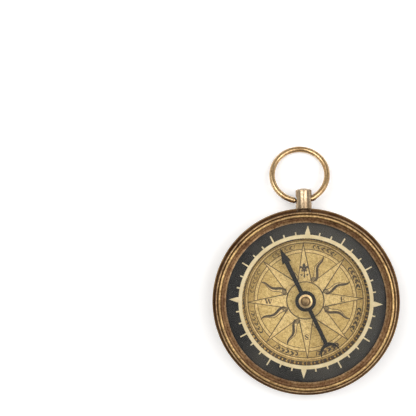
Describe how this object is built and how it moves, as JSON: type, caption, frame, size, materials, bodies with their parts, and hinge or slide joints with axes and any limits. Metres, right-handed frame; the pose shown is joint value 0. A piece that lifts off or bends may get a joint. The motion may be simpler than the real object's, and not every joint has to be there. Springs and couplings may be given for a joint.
{
  "type": "magnetic compass",
  "caption": "Pocket compass: turned brass case, stepped bezel, crystal over a compass card, a barbed needle on a steel point, and a pendant knob with a swinging wire bow.",
  "frame": {"origin": "centre of the case's flat back face, with the compass lying on its back", "axes": "+Z along the dial's axis, out through the crystal; +Y from the dial's centre to the pendant and bow (north on the printed dial); +X towards east on the printed dial"},
  "size_m": [0.0512, 0.0684, 0.0114],
  "materials": {
    "case_brass": "turned brass, lightly toned with age",
    "bezel_brass": "turned and polished brass with a darker tone in the grooves",
    "pendant_brass": "bright turned brass",
    "bow_brass": "bright drawn brass wire",
    "surround_brass": "polished brass",
    "inner_brass": "plain machined brass",
    "cap_brass": "turned brass",
    "chapter_black": "matt black enamel with a printed cream scale",
    "dial_paper": "parchment coloured card printed in brown",
    "needle_steel": "blued black steel",
    "pivot_steel": "ground hard steel",
    "crystal_glass": "clear flat glass",
    "jewel_glass": "polished red jewel"
  },
  "bodies": {
    "case": {"case_body": "case_brass", "bezel": "bezel_brass", "crystal": "crystal_glass", "crystal_split_ring": "inner_brass", "chapter_ring": "chapter_black", "dial_surround": "surround_brass", "dial_card": "dial_paper", "dial_plate": "inner_brass", "pivot_post": "inner_brass", "pivot_pin": "pivot_steel", "pendant_knob": "pendant_brass", "pendant_collar": "case_brass", "pendant_nut": "inner_brass"},
    "needle": {"needle": "needle_steel", "needle_cap": "cap_brass", "cap_jewel": "jewel_glass"},
    "bow": {"bow": "bow_brass"}
  },
  "joints": [
    {"name": "needle_turn", "type": "hinge", "parent": "case", "child": "needle", "pos_m": [0, 0, 0.00647], "axis": [0, 0, 1], "continuous": true},
    {"name": "bow_swing", "type": "hinge", "parent": "case", "child": "bow", "pos_m": [0, 0.028, 0.0057], "axis": [1, 0, 0], "range_deg": [-95, 140]}
  ]
}
